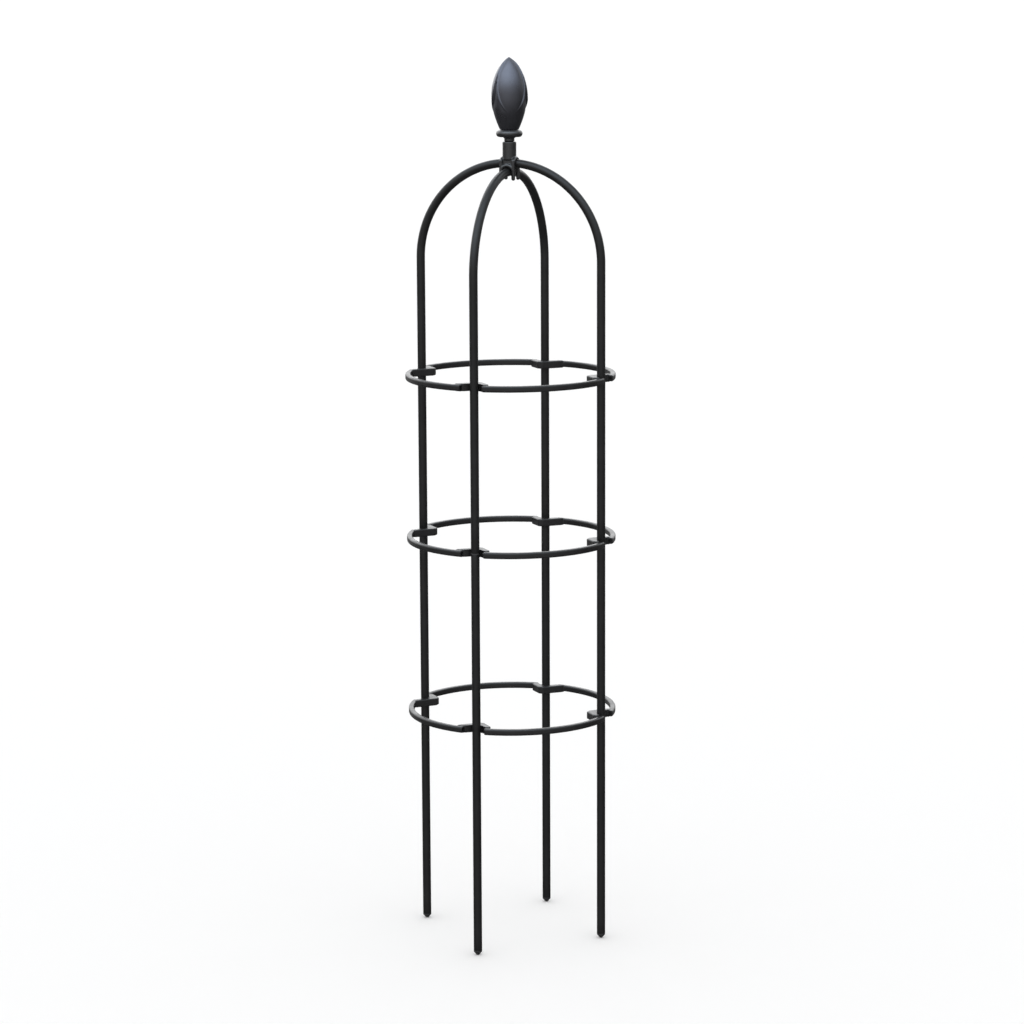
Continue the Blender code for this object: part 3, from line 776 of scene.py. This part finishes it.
def make_collar():
    """The turned disc under the bud, with the spigots that go into the bud and the stem."""
    low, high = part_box("finial_collar")
    stem_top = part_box("finial_stem")[1].z
    bud_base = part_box("finial_bud")[0].z
    outer = reach("finial_collar")
    disc_top = bud_base - GAP
    disc_middle = disc_top - COLLAR_EDGE
    disc_bottom = disc_top - 2 * COLLAR_EDGE
    spigot = BUD_HOLE_RADIUS - GAP
    lower_spigot = STEM_BORE - GAP
    head = filleted([(0.0, high.z), (spigot, high.z), (spigot, disc_top),
                     (BUD_BASE_RADIUS + SEAT_MARGIN, disc_top)], SEAT_ROUNDING, closed=False)
    groove = [(BUD_BASE_RADIUS + GROOVE_MARGIN, disc_top - GROOVE_DEPTH)]
    edge = []
    for step in range(COLLAR_BULGE_STEPS + 1):
        turn = math.radians(COLLAR_BULGE_START) - math.radians(COLLAR_BULGE_SWEEP) * step / COLLAR_BULGE_STEPS
        edge.append((outer - COLLAR_BULGE + COLLAR_BULGE * math.cos(turn),
                     disc_middle + COLLAR_EDGE * COLLAR_BULGE_SHARE * math.sin(turn)))
    foot = filleted([edge[-1], (NECK_RADIUS + NECK_FLARE, disc_bottom + NECK_FLARE_TOP),
                     (NECK_RADIUS, disc_bottom - NECK_FLARE_BOTTOM), (NECK_RADIUS, stem_top + GAP),
                     (lower_spigot, stem_top + GAP), (lower_spigot, low.z), (0.0, low.z)],
                    NECK_ROUNDING, closed=False)[1:]
    bm = bmesh.new()
    turned_geometry(bm, head + groove + edge + foot, COLLAR_SIDES)
    stand_for(add_piece("finial_collar_turned", bm, SHARP_EDGE), "finial_collar", finial_finish)


def smooth_step(value, start, end):
    """0 up to the start, 1 from the end on, and a soft rise between them."""
    way = min(1.0, max(0.0, (value - start) / (end - start)))
    return way * way * (3.0 - 2.0 * way)


def bud_radius(share, widest_radius):
    """The bud's plain radius at a share of its height: an oval with a short straight foot."""
    base = BUD_BASE_RADIUS / widest_radius
    if share < BUD_WIDEST_SHARE:
        rise = math.sin(math.pi / 2 * share / BUD_WIDEST_SHARE)
        return widest_radius * (base + (1.0 - base) * rise ** BUD_SWELL)
    fall = (share - BUD_WIDEST_SHARE) / (1.0 - BUD_WIDEST_SHARE)
    return widest_radius * max(0.0, 1.0 - fall ** BUD_TAPER) ** BUD_POINT


def petal_relief(angle, share, radius):
    """How far the skin stands out from the plain bud: overlapping petals with raised rims."""
    if share <= PETAL_START:
        return 0.0
    way = (share - PETAL_START) / (1.0 - PETAL_START)
    half_angle = math.radians(PETAL_HALF_ANGLE) * math.sqrt(1.0 - (1.0 - way) ** PETAL_CURVE)
    spacing = 2 * math.pi / PETALS
    off_middle = abs((angle - math.radians(PETAL_FACING) + spacing / 2) % spacing - spacing / 2)
    past_edge = (off_middle - half_angle) * radius
    strength = smooth_step(share, PETAL_START, PETAL_FULL) * smooth_step(1.0 - share, 0.0, PETAL_TIP_FADE)
    rim = PETAL_RIM * math.exp(-((past_edge + PETAL_RIM_WIDTH) / PETAL_RIM_WIDTH) ** 2)
    under = -PETAL_STEP * smooth_step(past_edge, PETAL_STEP_START, PETAL_STEP_END)
    off_vein = (spacing / 2 - off_middle) * radius
    vein = VEIN * math.exp(-(off_vein / VEIN_WIDTH) ** 2) * smooth_step(past_edge, 0.0, VEIN_FADE)
    return strength * (rim + under + vein)


def make_bud():
    """The hollow bud: a smooth cup, and above it three broad petals over the inner ones."""
    low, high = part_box("finial_bud")
    height = high.z - low.z
    widest = max(high.x - low.x, high.y - low.y) / 2
    bm = bmesh.new()

    def ring(radius, z, relief_share=None):
        made = []
        for side in range(BUD_SIDES):
            turn = 2 * math.pi * side / BUD_SIDES
            out = radius
            if relief_share is not None:
                out += petal_relief(turn, relief_share, radius)
            made.append(bm.verts.new((out * math.cos(turn), out * math.sin(turn), z)))
        return made

    rings = [ring(BUD_HOLE_RADIUS, low.z), ring(BUD_BASE_RADIUS - BUD_FOOT_BEVEL, low.z),
             ring(BUD_BASE_RADIUS - BUD_FOOT_INSET, low.z + BUD_FOOT_RISE)]
    for step in range(1, BUD_RINGS):
        share = 1.0 - (1.0 - step / BUD_RINGS) ** BUD_RING_SPACING
        rings.append(ring(bud_radius(share, widest), low.z + height * share, share))
    tip = bm.verts.new((0.0, 0.0, high.z))
    loft(bm, rings)
    inner = [ring(max(BUD_HOLE_RADIUS, bud_radius(share, widest) - BUD_WALL), low.z + height * share)
             for share in BUD_HOLLOW_SHARES]
    roof = bm.verts.new((0.0, 0.0, high.z - BUD_ROOF_DROP))
    loft(bm, [rings[0], *inner])
    for corner in range(BUD_SIDES):
        bm.faces.new((tip, rings[-1][corner - 1], rings[-1][corner]))
        bm.faces.new((roof, inner[-1][corner], inner[-1][corner - 1]))
    stand_for(add_piece("finial_bud_petals", bm, 60.0), "finial_bud", bud_finish)


# ---- Stage: camera, floor and light --------------------------------------------------------------
def add_camera():
    """The camera, set by its place round the object and its three turns."""
    azimuth = math.radians(CAMERA_AZIMUTH)
    pitch = math.radians(CAMERA_PITCH)
    roll = math.radians(CAMERA_ROLL)
    ahead = Vector((-math.sin(azimuth) * math.cos(pitch), math.cos(azimuth) * math.cos(pitch),
                    -math.sin(pitch)))
    level = Vector((math.cos(azimuth), math.sin(azimuth), 0.0))
    above = level.cross(ahead)
    right = level * math.cos(roll) + above * math.sin(roll)
    up = above * math.cos(roll) - level * math.sin(roll)
    data = bpy.data.cameras.new("camera")
    data.lens = LENS
    data.sensor_width = SENSOR_WIDTH
    camera = bpy.data.objects.new("camera", data)
    place = Vector((math.sin(azimuth) * CAMERA_DISTANCE, -math.cos(azimuth) * CAMERA_DISTANCE,
                    CAMERA_HEIGHT))
    place += level * CAMERA_SIDE
    camera.matrix_world = Matrix.Translation(place) @ Matrix((right, up, -ahead)).transposed().to_4x4()
    bpy.context.scene.collection.objects.link(camera)
    bpy.context.scene.camera = camera


def add_floor():
    """A plain pale floor that lights the object but isn't mirrored in it."""
    bm = bmesh.new()
    bmesh.ops.create_grid(bm, x_segments=1, y_segments=1, size=FLOOR_HALF)
    floor = add_piece("floor", bm)
    paint = bpy.data.materials.new("floor_paint")
    paint.use_nodes = True
    shader = paint.node_tree.nodes["Principled BSDF"]
    shader.inputs["Base Color"].default_value = FLOOR_PAINT
    shader.inputs["Roughness"].default_value = FLOOR_ROUGHNESS
    floor.data.materials.append(paint)
    floor.visible_glossy = False


def ramp(nodes, links, source, stops):
    """A colour along a value from 0 to 1, from (place, colour) stops."""
    colours = nodes.new("ShaderNodeValToRGB")
    bar = colours.color_ramp
    bar.elements[0].position = stops[0][0]
    bar.elements[0].color = (*stops[0][1], 1.0)
    bar.elements[1].position = stops[-1][0]
    bar.elements[1].color = (*stops[-1][1], 1.0)
    for place, colour in stops[1:-1]:
        bar.elements.new(place).color = (*colour, 1.0)
    links.new(source, colours.inputs["Fac"])
    return colours.outputs["Color"]


def grey_ramp(nodes, links, source, stops):
    """The same with greys, from (place, grey) stops."""
    return ramp(nodes, links, source, [(place, (grey, grey, grey)) for place, grey in stops])


def spread(nodes, links, source, start, end):
    """A value carried from 0 at the start to 1 at the end."""
    scale = nodes.new("ShaderNodeMapRange")
    scale.inputs["From Min"].default_value = start
    scale.inputs["From Max"].default_value = end
    links.new(source, scale.inputs["Value"])
    return scale.outputs["Result"]


def between(nodes, links, factor, first, second):
    """The first colour at a factor of 0 and the second at 1."""
    mix = nodes.new("ShaderNodeMix")
    mix.data_type = "RGBA"
    links.new(factor, mix.inputs["Factor"])
    links.new(first, mix.inputs["A"])
    links.new(second, mix.inputs["B"])
    return mix.outputs["Result"]


def turned_towards(nodes, links, coordinates, direction):
    """1 where a ray runs in the given direction, and 0 where it runs the other way."""
    along = nodes.new("ShaderNodeVectorMath")
    along.operation = "DOT_PRODUCT"
    along.inputs[1].default_value = direction
    links.new(coordinates.outputs["Generated"], along.inputs[0])
    return spread(nodes, links, along.outputs["Value"], -1.0, 1.0)


def studio_colours(nodes, links):
    """The studio that shows in the gloss: bright overhead and behind, brighter on the left."""
    coordinates = nodes.new("ShaderNodeTexCoord")
    azimuth = math.radians(CAMERA_AZIMUTH)
    to_camera = (math.sin(azimuth), -math.cos(azimuth), 0.0)
    to_left = (-math.cos(azimuth), -math.sin(azimuth), 0.0)
    frontness = turned_towards(nodes, links, coordinates, to_camera)
    leftness = turned_towards(nodes, links, coordinates, to_left)
    split = nodes.new("ShaderNodeSeparateXYZ")
    links.new(coordinates.outputs["Generated"], split.inputs["Vector"])
    height = split.outputs["Z"]

    # Each band runs from behind the object, 0, to behind the camera, 1.
    depths = grey_ramp(nodes, links, frontness, [(0.0, 0.022), (1.0, 0.022)])
    low = grey_ramp(nodes, links, frontness, [(0.0, 0.085), (0.14, 0.070), (0.30, 0.015), (0.60, 0.015),
                                              (0.86, 0.11), (1.0, 0.135)])
    horizon = grey_ramp(nodes, links, frontness, [(0.0, 0.62), (0.22, 0.46), (0.45, 0.22), (0.60, 0.15),
                                                  (1.0, 0.18)])
    overhead = ramp(nodes, links, frontness, [(0.0, (0.68, 0.70, 0.72)), (0.25, (0.50, 0.53, 0.56)),
                                              (0.38, (0.23, 0.25, 0.27)), (0.48, (0.27, 0.30, 0.33)),
                                              (0.62, (0.55, 0.62, 0.70)), (1.0, (0.60, 0.68, 0.76))])
    gloss = between(nodes, links, spread(nodes, links, height, *LOW_RISE), depths, low)
    gloss = between(nodes, links, spread(nodes, links, height, *HORIZON_RISE), gloss, horizon)
    gloss = between(nodes, links, spread(nodes, links, height, *OVERHEAD_RISE), gloss, overhead)

    key = grey_ramp(nodes, links, leftness, [(0.0, 0.40), (0.50, 0.85), (1.0, 1.0)])
    keyed = nodes.new("ShaderNodeVectorMath")
    keyed.operation = "MULTIPLY"
    links.new(gloss, keyed.inputs[0])
    links.new(key, keyed.inputs[1])
    return keyed.outputs["Vector"]


def add_studio():
    """An even white room for the camera and the soft light, and the studio for the gloss."""
    world = bpy.data.worlds.new("studio")
    bpy.context.scene.world = world
    world.use_nodes = True
    nodes = world.node_tree.nodes
    links = world.node_tree.links
    nodes.clear()
    room = nodes.new("ShaderNodeBackground")
    room.inputs["Color"].default_value = (1.0, 1.0, 1.0, 1.0)
    room.inputs["Strength"].default_value = ROOM_LIGHT
    studio = nodes.new("ShaderNodeBackground")
    studio.inputs["Strength"].default_value = STUDIO_LIGHT
    links.new(studio_colours(nodes, links), studio.inputs["Color"])
    path = nodes.new("ShaderNodeLightPath")
    choice = nodes.new("ShaderNodeMixShader")
    links.new(path.outputs["Is Glossy Ray"], choice.inputs["Fac"])
    links.new(room.outputs["Background"], choice.inputs[1])
    links.new(studio.outputs["Background"], choice.inputs[2])
    output = nodes.new("ShaderNodeOutputWorld")
    links.new(choice.outputs["Shader"], output.inputs["Surface"])
    bpy.context.scene.view_settings.view_transform = "Standard"


add_camera()
add_floor()
add_studio()
make_arch("arch_upper", LEG_ANGLES["right"])
make_arch("arch_lower", LEG_ANGLES["rear"])
for side, angle in LEG_ANGLES.items():
    make_leg(side, angle)
make_hoops()
make_stem()
make_collar()
make_bud()
